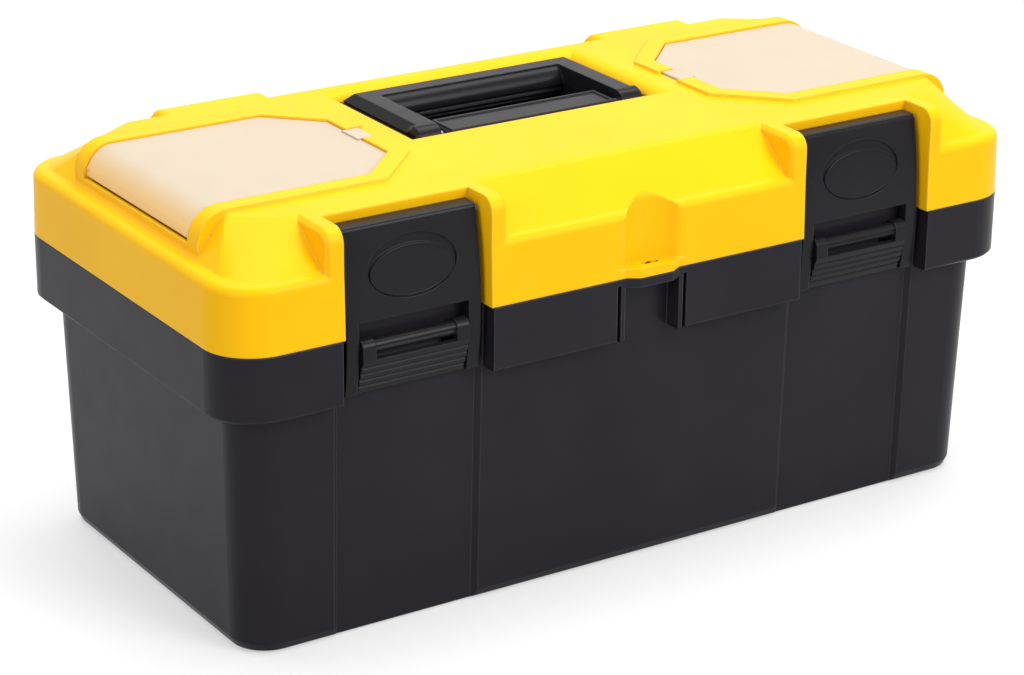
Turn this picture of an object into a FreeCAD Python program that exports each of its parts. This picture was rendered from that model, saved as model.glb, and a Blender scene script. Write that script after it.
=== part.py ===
import FreeCAD, Part

import math
import os

Vec = FreeCAD.Vector

# The box stands on Z = 0 with its front towards -Y. Sizes are in millimetres, angles in degrees.
# X = 0 is the middle of its length, and Y = 0 the middle of its rim.

# Tub and rim
rim_length = 430.0
rim_depth = 209.2
rim_height = 145.7
rim_corner = 23.8
rim_thickness = 3.0
foot_length = 405.1
foot_depth = 185.5
foot_edge = 5.0
tub_draft = 1.27
tub_corner = 18.0
tub_wall = 2.8
tub_floor = 3.0
tub_floor_edge = 4.0
skirt_drop = 30.4
skirt_wall = 2.6
skirt_edge = 1.2
gusset_thickness = 2.0
gusset_pitch = 62.0
gusset_inset = 4.0
bead_height = 3.2
bead_width = 1.6
bead_gap = 0.4
base_groove_inset = 14.0
base_groove_width = 6.0
base_groove_depth = 0.8

# Recessed panels and notches round the latches
latch_end_gap = 92.5
panel_width = 75.0
panel_depth = 2.5
panel_side_slope = 2.5
skirt_notch_width = 76.0
lid_notch_width = 73.6
notch_back = 20.3
notch_knee = 16.0
notch_foot_height = 12.0
notch_lip_thickness = 1.0
notch_lip_height = 3.5

# Eye for a small padlock
eye_notch_width = 38.0
eye_recess_width = 29.6
eye_rib = 2.2
eye_reach = 3.2
eye_front_width = 18.0
eye_root_width = 29.0
eye_lip = 4.3
eye_slot_length = 8.5
eye_slot_width = 2.5
eye_slot_inset = 2.8
niche_width = 29.0
niche_depth = 8.1
niche_round = 5.0

# Lid
seam = 0.3
lid_wall = 2.5
ridge_height = 31.3
ridge_round = 4.5
band_draft = 0.8
crown_inset_x = 8.0
crown_inset_y = 4.6
crown_corner = 20.0
plateau_rise = 50.3
plateau_inset_x = 23.0
plateau_inset_y = 28.1
plateau_corner_x = 23.0
plateau_corner_y = 15.5
plateau_round = 5.0
wing_width = 8.4
wing_front_round = 7.0
wing_side_round = 2.0
hinge_block_width = 67.0
hinge_block_reach = 10.0
hinge_block_round = 4.0
hinge_block_spread = 2.0
hinge_block_taper = 6.0

# Parts wells in the lid, and their clear covers
cover_length = 111.5
cover_depth = 100.0
cover_chamfer = 23.0
cover_thickness = 1.8
cover_drop = 13.0
cover_bend = 13.2
cover_lip = 3.0
cover_lip_inset = 2.4
cover_gap = 0.4
cover_swing_gap = 0.3
frame_width = 9.5
frame_stand = 1.5
frame_end_gap = 9.5
seat_width = 3.5
well_floor_depth = 33.0
well_wall = 2.2
divider_thickness = 1.6
divider_drop = 6.0
tab_width = 14.5
tab_reach = 7.0
tab_thickness = 2.4
tab_offset = 3.0
stub_radius = 1.4
stub_length = 3.0
stub_inset = 2.5
stub_rise = 2.7
lug_radius = 2.4
hinge_room_reach = 6.0

# Carrying handle and the black insert that it folds into
handle_width = 127.0
handle_reach = 62.0
handle_nose = 6.5
handle_thickness = 9.0
handle_arm = 13.0
handle_bevel = 3.8
handle_top_stand = 0.5
grip_depth = 12.4
grip_radius = 7.8
grip_drop = 8.4
grip_flute_radius = 1.3
grip_flutes = 5
recess_gap_x = 2.8
recess_front = 8.5
recess_back_gap = 1.0
recess_round = 8.0
insert_gap = 0.5
insert_plate = 2.4
insert_rim_drop = 4.0
insert_rest_gap = 0.3
strip_width = 93.4
strip_front_gap = 0.4
strip_depth = 20.4
strip_drop = 2.5
strip_frame = 1.4
strip_frame_rise = 0.6
strip_bevel = 1.2
well_depth = 31.0
insert_wall = 2.2
insert_back_wall = 1.5
grip_gap = 0.8
pivot_pin_radius = 2.0
pivot_pin_grip = 9.5
pocket_gap = 0.8
screw_radius = 1.4
screw_head_radius = 3.8
screw_head_height = 1.8
screw_boss_radius = 3.0
screw_inset = 5.0
pin_clearance = 0.05

# Latches: a crowned plate hinged to the lid, and a lever in its window
plate_width = 67.4
plate_thickness = 2.6
plate_flange = 2.0
plate_leg_depth = 5.6
plate_top_drop = 3.6
plate_bottom_height = 117.0
plate_bottom_y = 6.4
plate_middle_y = 4.5
plate_shoulder_y = 9.4
plate_shoulder_round = 2.2
barrel_radius = 4.1
barrel_y = 14.1
plate_heel = 4.2
latch_pin_radius = 1.5
latch_pin_bite = 5.0
window_width = 55.4
window_top = 150.2
ellipse_width = 44.6
ellipse_height = 27.8
ellipse_below_axis = 16.8
ellipse_depth = 1.1
pad_width = 42.6
pad_height = 22.3
pad_drop = 1.75
lever_axis_y = 6.6
lever_axis_height = 138.3
lever_gap = 0.8
ear_width = 6.4
ear_radius = 4.3
lever_bar_radius = 3.3
lever_bar_groove = 0.7
lever_neck_height = 5.2
lever_neck_reach = 4.5
lever_tip_height = 21.4
lever_tip_reach = 1.3
lever_thickness = 2.4
lever_grooves = 4
lever_groove_radius = 0.7
lever_stub_radius = 1.25
lever_stub_length = 4.2
catch_width = 34.0
catch_reach = 2.1
catch_bottom = 125.9
catch_height = 7.0
toe_width = 30.0
toe_height = 3.2
toe_gap = 0.25
toe_drop = 0.4

# Rear hinges of the lid
hinge_axis_reach = 4.8
hinge_radius = 4.2
hinge_pin_radius = 1.6
hinge_length = 50.0
hinge_knuckle_gap = 0.4
hinge_arm_height = 10.0
hinge_knuckles = 3

# Lift-out tray on ledges in the tub
tray_length = 392.0
tray_depth = 170.0
tray_height = 38.0
tray_corner = 14.0
tray_draft_inset = 3.0
tray_wall = 2.0
tray_rim = 3.0
tray_top_drop = 2.5
tray_bridge_depth = 30.0
tray_bridge_wall = 2.2
tray_grip_length = 110.0
tray_grip_height = 11.0
tray_slot_pitch = 92.0
tray_slot_rib = 1.6
tray_divider_thickness = 1.8
tray_divider_gap = 0.2
tray_divider_drop = 4.0
tray_ledge_width = 13.0
tray_ledge_length = 120.0
tray_ledge_height = 6.0

# Places worked out from the sizes above
half_length = rim_length / 2
half_depth = rim_depth / 2
latch_x = half_length - latch_end_gap
draft_slope = math.tan(math.radians(tub_draft))
lid_bottom = rim_height + seam
ridge_z = rim_height + ridge_height
plateau_z = rim_height + plateau_rise
band_front = half_depth - band_draft
skirt_bottom = rim_height - skirt_drop
frame_top = plateau_z + frame_stand
frame_end = half_length - frame_end_gap
cover_end = frame_end - frame_stand
cover_top = frame_top - frame_stand + insert_rest_gap
cover_inner = cover_end - cover_length
well_floor_z = plateau_z - well_floor_depth
stub_x = cover_end - stub_inset
stub_z = cover_top - cover_drop + stub_rise
sill_z = stub_z - math.hypot(stub_inset, stub_rise) - cover_swing_gap
hinge_room_start = stub_x - hinge_room_reach
handle_top = plateau_z + handle_top_stand
pivot_z = handle_top - handle_nose
arm_bottom = handle_top - handle_thickness
insert_top = arm_bottom - insert_rest_gap
insert_bottom = insert_top - insert_plate
ledge_bottom = insert_bottom - lid_wall
recess_half_x = handle_width / 2 + recess_gap_x
recess_back = handle_reach + recess_back_gap
strip_top = handle_top - strip_drop - strip_frame_rise
strip_front = -recess_front + strip_front_gap
insert_well_floor = plateau_z - well_depth
barrel_axis_y = -half_depth + barrel_y
plate_top = plateau_z - plate_top_drop
barrel_axis_z = plate_top - barrel_radius
lever_y = -half_depth + lever_axis_y
lever_z = lever_axis_height
hinge_y = half_depth + hinge_axis_reach
tray_top = rim_height - tray_top_drop
tray_bottom = tray_top - tray_height
overrun = 20.0


def ring(half_x, half_y, radius, z):
    """Closed outline of a rectangle with round corners, level at z."""
    signs = [(1, 1), (-1, 1), (-1, -1), (1, -1)]
    bow = radius * math.sqrt(0.5)
    corners = []
    for sx, sy in signs:
        cx = sx * (half_x - radius)
        cy = sy * (half_y - radius)
        side = Vec(cx + sx * radius, cy, z)
        face = Vec(cx, cy + sy * radius, z)
        middle = Vec(cx + sx * bow, cy + sy * bow, z)
        first, last = (side, face) if sx * sy > 0 else (face, side)
        corners.append((first, middle, last))
    edges = []
    for place, (first, middle, last) in enumerate(corners):
        following = corners[(place + 1) % len(corners)][0]
        edges.append(Part.Arc(first, middle, last).toShape())
        edges.append(Part.LineSegment(last, following).toShape())
    return Part.Wire(edges)


def cut_corner_ring(half_x, half_y, corner_x, corner_y, z):
    """Closed outline of a rectangle whose corners are cut straight across, level at z."""
    points = []
    for sx, sy in [(1, 1), (-1, 1), (-1, -1), (1, -1)]:
        side = Vec(sx * half_x, sy * (half_y - corner_y), z)
        face = Vec(sx * (half_x - corner_x), sy * half_y, z)
        points += [side, face] if sx * sy > 0 else [face, side]
    return Part.makePolygon(points + [points[0]])


def block(x0, x1, y0, y1, z0, z1):
    return Part.makeBox(x1 - x0, y1 - y0, z1 - z0, Vec(x0, y0, z0))


def prism_z(points, z0, z1):
    """Upright prism over a plan outline given as (x, y) points."""
    corners = [Vec(x, y, z0) for x, y in points]
    outline = Part.makePolygon(corners + [corners[0]])
    return Part.Face(outline).extrude(Vec(0, 0, z1 - z0))


def prism_x(points, x0, x1):
    """Prism along X over an outline given as (y, z) points."""
    corners = [Vec(x0, y, z) for y, z in points]
    outline = Part.makePolygon(corners + [corners[0]])
    return Part.Face(outline).extrude(Vec(x1 - x0, 0, 0))


def prism_y(points, y0, y1):
    """Prism along Y over an outline given as (x, z) points."""
    corners = [Vec(x, y0, z) for x, z in points]
    outline = Part.makePolygon(corners + [corners[0]])
    return Part.Face(outline).extrude(Vec(0, y1 - y0, 0))


def rod_x(x0, x1, y, z, radius):
    return Part.makeCylinder(radius, x1 - x0, Vec(x0, y, z), Vec(1, 0, 0))


def rod_y(y0, y1, x, z, radius):
    return Part.makeCylinder(radius, y1 - y0, Vec(x, y0, z), Vec(0, 1, 0))


def rod_z(z0, z1, x, y, radius):
    return Part.makeCylinder(radius, z1 - z0, Vec(x, y, z0), Vec(0, 0, 1))


def square(x, y, half, z0, z1):
    return block(x - half, x + half, y - half, y + half, z0, z1)


def mirrored(shape):
    """The same form on the other side of X = 0."""
    return shape.mirror(Vec(0, 0, 0), Vec(1, 0, 0))


def both_sides(shape):
    return [shape, mirrored(shape)]


def level_edges(shape, z):
    """Edges that lie in the level plane at z."""
    near = 1e-3
    return [e for e in shape.Edges
            if abs(e.BoundBox.ZMin - z) < near and abs(e.BoundBox.ZMax - z) < near]


def upright_edges(shape):
    near = 1e-3
    return [e for e in shape.Edges if e.BoundBox.XLength < near and e.BoundBox.YLength < near]


def tub_half(size, z):
    """Half of a tub dimension at height z, on the drafted outer wall."""
    return size / 2 + z * draft_slope


def panel_cutter(front, inset, z0, z1):
    """Drafted wedge that sinks the wall behind one latch; front is -1 or 1 for front or back."""
    near_x = latch_x - panel_width / 2 - inset
    far_x = latch_x + panel_width / 2 + inset
    outlines = []
    for z in (z0, z1):
        face = tub_half(foot_depth, z) - inset
        floor = face - panel_depth
        plan = [(near_x, face), (near_x + panel_side_slope, floor),
                (far_x - panel_side_slope, floor), (far_x, face),
                (far_x, face + overrun), (near_x, face + overrun)]
        corners = [Vec(x, front * y, z) for x, y in plan]
        outlines.append(Part.makePolygon(corners + [corners[0]]))
    return Part.makeLoft(outlines, True, True)


def tub_block(inset, z0, z1, edge):
    """Drafted tub form between two heights, set in by inset, its foot rounded in two slopes."""
    part_way = edge * (1 - math.sqrt(0.5))
    outlines = []
    for step, z in ((edge, z0), (part_way, z0 + part_way), (0, z0 + edge), (0, z1)):
        outlines.append(ring(tub_half(foot_length, z) - inset - step,
                             tub_half(foot_depth, z) - inset - step, tub_corner - inset - step, z))
    form = Part.makeLoft(outlines, True, True)
    for front in (-1, 1):
        for cutter in both_sides(panel_cutter(front, inset, z0 - overrun, z1 + overrun)):
            form = form.cut(cutter)
    return form


def skirt():
    """Turned-down rim round the tub, open below, with cheeks beside each notch."""
    levels = ((skirt_edge, skirt_bottom), (0, skirt_bottom + skirt_edge), (0, rim_height))
    outer = Part.makeLoft([ring(half_length - step, half_depth - step, rim_corner - step, z)
                           for step, z in levels], True, True)
    hollow = Part.makeLoft([
        ring(half_length - skirt_wall, half_depth - skirt_wall, rim_corner - skirt_wall, z)
        for z in (skirt_bottom - overrun, rim_height - rim_thickness)], True, True)
    inner_y = tub_half(foot_depth, skirt_bottom) - panel_depth - tub_wall
    cheek_half = skirt_notch_width / 2 + skirt_wall
    eye_half = eye_notch_width / 2 + skirt_wall
    kept = [block(latch_x - cheek_half, latch_x + cheek_half, -half_depth - overrun, -inner_y,
                  skirt_bottom - overrun, rim_height)]
    kept = both_sides(kept[0])
    kept.append(block(-eye_half, eye_half, -half_depth - overrun, -inner_y,
                      skirt_bottom - overrun, rim_height))
    for solid in kept:
        hollow = hollow.cut(solid)
    form = outer.cut(hollow)
    notch_half = skirt_notch_width / 2
    notch = block(latch_x - notch_half, latch_x + notch_half, -half_depth - overrun, -inner_y,
                  skirt_bottom - overrun, rim_height + overrun)
    for cutter in both_sides(notch):
        form = form.cut(cutter)
    recess_half = eye_recess_width / 2
    slot_start = recess_half + eye_rib
    for x0, x1 in ((-recess_half, recess_half), (slot_start, eye_notch_width / 2),
                   (-eye_notch_width / 2, -slot_start)):
        form = form.cut(block(x0, x1, -half_depth - overrun, -inner_y, skirt_bottom - overrun,
                              rim_height - rim_thickness))
    return form


def eye_plan():
    """Plan outline of the padlock eye, from the tub wall to its rounded lip."""
    root = half_depth - 2 * niche_depth
    return [(-eye_root_width / 2, -root), (-eye_root_width / 2, -half_depth),
            (-eye_front_width / 2, -half_depth - eye_reach),
            (eye_front_width / 2, -half_depth - eye_reach),
            (eye_root_width / 2, -half_depth), (eye_root_width / 2, -root)]


def eye_flange(z0, z1):
    form = prism_z(eye_plan(), z0, z1)
    front = [e for e in upright_edges(form) if e.BoundBox.YMin < -half_depth - eye_reach / 2]
    return form.makeFillet(eye_reach / 2, front)


def eye_slot():
    """Slot through both flanges of the padlock eye, with round ends."""
    y = -half_depth + eye_slot_inset
    radius = eye_slot_width / 2
    reach = eye_slot_length / 2 - radius
    z0 = rim_height - overrun
    z1 = rim_height + overrun
    form = block(-reach, reach, y - radius, y + radius, z0, z1)
    for x in (-reach, reach):
        form = form.fuse(rod_z(z0, z1, x, y, radius))
    return form


def gussets():
    """Thin ribs under the rim that tie the skirt to the wall."""
    z0 = skirt_bottom + gusset_inset
    z1 = rim_height - rim_thickness / 2
    inner_x = tub_half(foot_length, z0) - tub_wall / 2
    inner_y = tub_half(foot_depth, z0) - panel_depth - tub_wall / 2
    half_rib = gusset_thickness / 2
    ribs = []
    for x in (-gusset_pitch / 2, gusset_pitch / 2):
        ribs.append(block(x - half_rib, x + half_rib, -half_depth + skirt_wall / 2, -inner_y, z0, z1))
    count = int(half_length / gusset_pitch)
    for place in range(-count, count + 1):
        x = place * gusset_pitch
        if abs(x) < half_length - rim_corner:
            ribs.append(block(x - half_rib, x + half_rib, inner_y, half_depth - skirt_wall / 2, z0, z1))
    for y in (-gusset_pitch, 0, gusset_pitch):
        rib = block(inner_x, half_length - skirt_wall / 2, y - half_rib, y + half_rib, z0, z1)
        ribs += both_sides(rib)
    return ribs


def rim_bead():
    """Raised bead on the rim that centres the closed lid."""
    z0 = rim_height - rim_thickness / 2
    z1 = rim_height + bead_height
    inset = lid_wall + bead_gap
    outer = Part.makeLoft([ring(half_length - inset, half_depth - inset, rim_corner - inset, z)
                           for z in (z0, z1)], True, True)
    inset = inset + bead_width
    inner = Part.makeLoft([ring(half_length - inset, half_depth - inset, rim_corner - inset, z)
                           for z in (z0 - overrun, z1 + overrun)], True, True)
    form = outer.cut(inner)
    half_gap = skirt_notch_width / 2 + tub_wall
    gap = block(latch_x - half_gap, latch_x + half_gap, -half_depth, 0, z0, z1)
    niche_gap = block(-eye_notch_width / 2, eye_notch_width / 2, -half_depth, 0, z0, z1)
    for cutter in both_sides(gap) + [niche_gap]:
        form = form.cut(cutter)
    return form


def base_groove():
    """Shallow groove that stiffens the tub's underside."""
    inset = base_groove_inset
    outer = Part.makeLoft([ring(foot_length / 2 - inset, foot_depth / 2 - inset, tub_corner, z)
                           for z in (-overrun, base_groove_depth)], True, True)
    inset = inset + base_groove_width
    inner = Part.makeLoft([ring(foot_length / 2 - inset, foot_depth / 2 - inset, tub_corner, z)
                           for z in (-2 * overrun, overrun)], True, True)
    return outer.cut(inner)


def notch_lip():
    """Upstanding lip in one latch notch, which covers the lid's foot behind the latch."""
    wall = tub_half(foot_depth, rim_height) - panel_depth
    half = lid_notch_width / 2 - bead_gap
    return block(latch_x - half, latch_x + half, -wall, -wall + notch_lip_thickness,
                 rim_height - rim_thickness / 2, rim_height + notch_lip_height)


def catch_rail(x):
    """Moulded catch in one latch notch; the lever's toe tucks under its flat lower face."""
    wall = tub_half(foot_depth, catch_bottom) - panel_depth
    root = -wall + tub_wall / 2
    front = -wall - catch_reach
    profile = [(root, catch_bottom), (front, catch_bottom), (front, catch_bottom + catch_height / 2),
               (-wall, catch_bottom + catch_height), (root, catch_bottom + catch_height)]
    return prism_x(profile, x - catch_width / 2, x + catch_width / 2)


def tray_ledge():
    """Ledge on the right end wall that carries the tray, tapered so that it leaves the mould."""
    top = tray_bottom - insert_rest_gap
    wall = tub_half(foot_length, top) - tub_wall / 2
    reach = tub_half(foot_length, top) - tub_wall - tray_ledge_width
    low = top - tray_ledge_height - tray_ledge_width
    corners = [Vec(wall, -tray_ledge_length / 2, low), Vec(wall, -tray_ledge_length / 2, top),
               Vec(reach, -tray_ledge_length / 2, top),
               Vec(reach, -tray_ledge_length / 2, top - tray_ledge_height)]
    face = Part.Face(Part.makePolygon(corners + [corners[0]]))
    return face.extrude(Vec(0, tray_ledge_length, 0))


def hinge_slices():
    """The X ranges of one hinge's knuckles, which belong to tub and lid by turns."""
    pitch = hinge_length / hinge_knuckles
    start = latch_x - hinge_length / 2
    half_gap = hinge_knuckle_gap / 2
    slices = []
    for place in range(hinge_knuckles):
        slices.append((start + place * pitch + half_gap, start + (place + 1) * pitch - half_gap))
    return slices


def tub_knuckle(x0, x1):
    """Barrel and bracket of one knuckle on the tub's rear rim."""
    low = rim_height - hinge_arm_height
    flank = rim_height - hinge_radius / 2
    profile = [(half_depth - skirt_wall / 2, low), (half_depth, low),
               (hinge_y + hinge_radius * math.sqrt(0.5), rim_height - hinge_radius * math.sqrt(0.5)),
               (hinge_y, rim_height - seam), (half_depth - skirt_wall / 2, flank)]
    return prism_x(profile, x0, x1).fuse(rod_x(x0, x1, hinge_y, rim_height, hinge_radius))


def lid_knuckle(x0, x1):
    """Barrel and bracket of one knuckle on the lid's rear band."""
    high = rim_height + hinge_arm_height
    inside = half_depth - band_draft - lid_wall / 2
    profile = [(inside, lid_bottom), (hinge_y, lid_bottom),
               (hinge_y + hinge_radius * math.sqrt(0.5), rim_height + hinge_radius * math.sqrt(0.5)),
               (half_depth, high), (inside, high)]
    return prism_x(profile, x0, x1).fuse(rod_x(x0, x1, hinge_y, rim_height, hinge_radius))


def hinge_bore():
    reach = hinge_length / 2 + overrun
    return rod_x(latch_x - reach, latch_x + reach, hinge_y, rim_height,
                 hinge_pin_radius + pin_clearance)


def make_tub():
    """The black tub: drafted body, skirt, padlock eye, catches, ledges and hinge knuckles."""
    form = tub_block(0, 0, rim_height, foot_edge)
    form = form.fuse([skirt(), eye_flange(rim_height - eye_lip, rim_height)] + gussets())
    cavity = tub_block(tub_wall, tub_floor, rim_height + overrun, tub_floor_edge)
    form = form.cut(cavity)
    additions = [rim_bead()]
    additions += both_sides(catch_rail(latch_x)) + both_sides(notch_lip()) + both_sides(tray_ledge())
    for x0, x1 in hinge_slices()[::2]:
        additions += both_sides(tub_knuckle(x0, x1))
    form = form.fuse(additions)
    for cutter in both_sides(hinge_bore()) + [eye_slot(), base_groove()]:
        form = form.cut(cutter)
    return form.removeSplitter()


def octagon_points(outset):
    """Plan of the right-hand cover's outline, moved outwards by outset."""
    end = cover_end + outset
    inner = cover_inner - outset
    side = cover_depth / 2 + outset
    chamfer = cover_chamfer + outset * (2 - math.sqrt(2))
    return [(end, -side), (end, side), (inner + chamfer, side), (inner, side - chamfer),
            (inner, chamfer - side), (inner + chamfer, -side)]


def bent_profile(end, top, bend, bottom, half_width):
    """Side view of a lid surface that runs level and bends down over its end, as a solid in Y."""
    inner = cover_inner - frame_width - overrun
    bow = bend * math.sqrt(0.5)
    start = Vec(inner, -half_width, top)
    bend_start = Vec(end - bend, -half_width, top)
    bend_middle = Vec(end - bend + bow, -half_width, top - bend + bow)
    bend_end = Vec(end, -half_width, top - bend)
    foot = Vec(end, -half_width, bottom)
    back = Vec(inner, -half_width, bottom)
    edges = [Part.LineSegment(start, bend_start).toShape(),
             Part.Arc(bend_start, bend_middle, bend_end).toShape(),
             Part.LineSegment(bend_end, foot).toShape(),
             Part.LineSegment(foot, back).toShape(),
             Part.LineSegment(back, start).toShape()]
    return Part.Face(Part.Wire(edges)).extrude(Vec(0, 2 * half_width, 0))


def frame_block():
    """Raised frame round one parts well, rolled down over the lid's end."""
    plan = prism_z(octagon_points(frame_width), well_floor_z, frame_top + overrun)
    side = bent_profile(frame_end, frame_top, cover_bend + frame_stand, well_floor_z,
                        cover_depth / 2 + frame_width)
    return plan.common(side)


def cover_recess():
    """Space for the cover and its seat, down to the sill at the end of the lid."""
    plan = prism_z(octagon_points(cover_gap), sill_z, frame_top + overrun)
    under = cover_thickness + insert_rest_gap
    seat = bent_profile(cover_end - under, cover_top - under, cover_bend - under, well_floor_z,
                        cover_depth)
    side = cover_depth / 2 + cover_gap
    hinge_room = block(hinge_room_start, cover_end + overrun, -side, side, sill_z, frame_top + overrun)
    return plan.cut(seat).fuse(hinge_room)


def well_hollow():
    """Inside of one parts well."""
    plan = [(min(x, frame_end - lid_wall), y) for x, y in octagon_points(-seat_width)]
    points = []
    for x, y in plan:
        points.append((frame_end - lid_wall if x > stub_x - lid_wall else x, y))
    return prism_z(points, well_floor_z, frame_top + overrun)


def well_dividers():
    """Cross and long dividers moulded in a parts well."""
    top = cover_top - divider_drop
    middle = (cover_inner + frame_end) / 2
    half_rib = divider_thickness / 2
    side = cover_depth / 2 - seat_width / 2
    cross = block(middle - half_rib, middle + half_rib, -side, side, well_floor_z, top)
    long = block(middle, sill_end(), -half_rib, half_rib, well_floor_z, sill_z - divider_drop)
    return [cross, long]


def sill_end():
    return frame_end - lid_wall / 2


def tab_pocket():
    y0 = tab_offset - tab_width / 2 - cover_gap * 2
    y1 = tab_offset + tab_width / 2 + cover_gap * 2
    z0 = cover_top + cover_gap * 2 - tab_thickness - insert_rest_gap
    pocket = block(cover_inner - tab_reach - cover_gap * 2, cover_inner + overrun / 4, y0, y1, z0,
                   frame_top + overrun)
    way_in = block(cover_inner - frame_width - cover_gap, cover_inner, y0, y1, plateau_z,
                   frame_top + overrun)
    return pocket, way_in


def crown(inset, drop):
    """The lid's raised middle: sloping sides that sweep from a round foot to cut-off corners."""
    foot = ring(half_length - crown_inset_x - inset, half_depth - crown_inset_y - inset,
                crown_corner, ridge_z - drop)
    top = cut_corner_ring(half_length - plateau_inset_x - inset, half_depth - plateau_inset_y - inset,
                          plateau_corner_x, plateau_corner_y, plateau_z - drop)
    return Part.makeLoft([foot, top], True, True)


def crown_hollow():
    """Space under the lid's raised middle, with its corners cut off alike at both levels."""
    inset = lid_wall / 2
    drop = lid_wall + frame_stand / 2
    foot = cut_corner_ring(half_length - crown_inset_x - inset, half_depth - crown_inset_y - inset,
                           plateau_corner_x, plateau_corner_y, ridge_z - drop)
    top = cut_corner_ring(half_length - plateau_inset_x - inset, half_depth - plateau_inset_y - inset,
                          plateau_corner_x, plateau_corner_y, plateau_z - drop)
    return Part.makeLoft([foot, top], True, True)


def notch_profile(offset):
    """Side view (y, z) of the space in front of a latch notch's back wall."""
    back = -half_depth + notch_back + offset
    foot = -tub_half(foot_depth, rim_height) + panel_depth + notch_lip_thickness + insert_rest_gap + offset
    knee_z = plateau_z - notch_knee
    foot_z = rim_height + notch_foot_height
    return [(-half_depth - overrun, rim_height - overrun), (foot, rim_height - overrun),
            (foot, foot_z), (back, knee_z), (back, frame_top + overrun),
            (-half_depth - overrun, frame_top + overrun)]


def latch_notch(wall):
    half = lid_notch_width / 2 + wall
    return prism_x(notch_profile(wall), latch_x - half, latch_x + half)


def latch_housing():
    """Block that carries the plateau forward to the band round one latch."""
    half = lid_notch_width / 2 + wing_width
    form = block(latch_x - half, latch_x + half, -band_front, -half_depth + plateau_inset_y + overrun,
                 ridge_z - ridge_round, plateau_z)
    near = 1e-3
    front = [e for e in level_edges(form, plateau_z) if e.BoundBox.YMax < -band_front + near]
    form = form.makeFillet(wing_front_round, front)
    sides = [e for e in level_edges(form, plateau_z) if e.BoundBox.YLength > wing_width]
    return form.makeChamfer(wing_side_round, sides)


def hinge_housing_block(wall):
    """Plain form of the block above one hinge, set in by a wall where asked."""
    start = half_depth - plateau_inset_y
    foot = half_depth - crown_inset_y - wall
    profile = [(start - overrun, ridge_z - ridge_round), (start - overrun, plateau_z - wall),
               (start + hinge_block_reach - wall, plateau_z - wall),
               (foot, ridge_z - wall), (foot, ridge_z - ridge_round)]
    half = hinge_block_width / 2 - wall
    low = half + hinge_block_spread
    high = half - hinge_block_taper
    form = prism_x(profile, latch_x - low, latch_x + low)
    flanks = prism_y([(latch_x - low, ridge_z - ridge_round), (latch_x + low, ridge_z - ridge_round),
                      (latch_x + high, plateau_z), (latch_x - high, plateau_z)],
                     start - overrun, half_depth)
    return form.common(flanks)


def hinge_housing():
    """Block that carries the plateau back above one hinge."""
    start = half_depth - plateau_inset_y
    form = hinge_housing_block(0)
    top = level_edges(form, plateau_z)
    outer = [e for e in top if e.BoundBox.YMin > start - overrun / 2 or e.BoundBox.YLength > overrun / 2]
    return form.makeFillet(hinge_block_round, outer)


def niche(radius_gain, z0, z1):
    """Upright hollow cylinder face above the padlock eye."""
    half_chord = niche_width / 2
    radius = (half_chord ** 2 + niche_depth ** 2) / (2 * niche_depth)
    centre_y = -band_front + niche_depth - radius
    return rod_z(z0, z1, 0, centre_y, radius + radius_gain)


def niche_mouth(z0, z1):
    """Flare that rounds the niche's right-hand upright edge where it meets the front of the band."""
    radius = niche(0, z0, z1).BoundBox.XLength / 2
    axis_y = -band_front + niche_depth - radius
    round_y = -band_front + niche_round
    reach = radius + niche_round
    round_x = math.sqrt(reach ** 2 - (round_y - axis_y) ** 2)
    centre = Vec(round_x, round_y, z0)
    inward = Vec(-round_x, axis_y - round_y, 0).normalize()
    between = (inward + Vec(0, -1, 0)).normalize()
    start = centre + Vec(0, -niche_round, 0)
    end = centre + inward * niche_round
    aside = start + Vec(overrun, -overrun / 3, 0)
    front = Vec(0, -half_depth - overrun, z0)
    inner = Vec(0, end.y, z0)
    edges = [Part.LineSegment(front, aside).toShape(),
             Part.LineSegment(aside, start).toShape(),
             Part.Arc(start, centre + between * niche_round, end).toShape(),
             Part.LineSegment(end, inner).toShape(),
             Part.LineSegment(inner, front).toShape()]
    return Part.Face(Part.Wire(edges)).extrude(Vec(0, 0, z1 - z0))


def niche_top():
    """Flare that rounds the niche's upper edge into the slope above it."""
    cylinder = niche(0, ridge_z, plateau_z).BoundBox
    radius = cylinder.XLength / 2
    axis_y = cylinder.Center.y
    step = niche_round * (1 - math.sqrt(0.5))
    rise = niche_round * math.sqrt(0.5)
    slope = (plateau_z - ridge_z) / (plateau_inset_y - crown_inset_y)
    end_z = ridge_z + (niche_depth + step + half_depth - crown_inset_y - band_front) * slope
    bow = niche_round * math.sin(math.radians(22.5))
    sag = niche_round * (1 - math.cos(math.radians(22.5)))
    start = Vec(radius, axis_y, end_z - rise)
    middle = Vec(radius + sag, axis_y, end_z - rise + bow)
    end = Vec(radius + step, axis_y, end_z)
    outer = end + Vec(overrun, 0, overrun)
    top = Vec(0, axis_y, outer.z)
    low = Vec(0, axis_y, start.z)
    edges = [Part.Arc(start, middle, end).toShape(),
             Part.LineSegment(end, outer).toShape(),
             Part.LineSegment(outer, top).toShape(),
             Part.LineSegment(top, low).toShape(),
             Part.LineSegment(low, start).toShape()]
    return Part.Face(Part.Wire(edges)).revolve(Vec(0, axis_y, 0), Vec(0, 0, 1), 360)


def recess_block(gap, z0, z1):
    return block(-recess_half_x + gap, recess_half_x - gap, -recess_front + gap,
                 recess_back - gap, z0, z1)


def screw_places():
    """Plan places of the screws that hold the black insert to the lid."""
    x = recess_half_x - screw_inset
    places = []
    for y in (handle_nose + screw_inset * 2, recess_back - screw_inset):
        places += [(-x, y), (x, y)]
    return places


def pocket_places():
    """X ranges of the two pockets in which the handle's noses turn."""
    outer = handle_width / 2 + pocket_gap
    inner = handle_width / 2 - handle_arm - pocket_gap
    return [(inner, outer), (-outer, -inner)]


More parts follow.
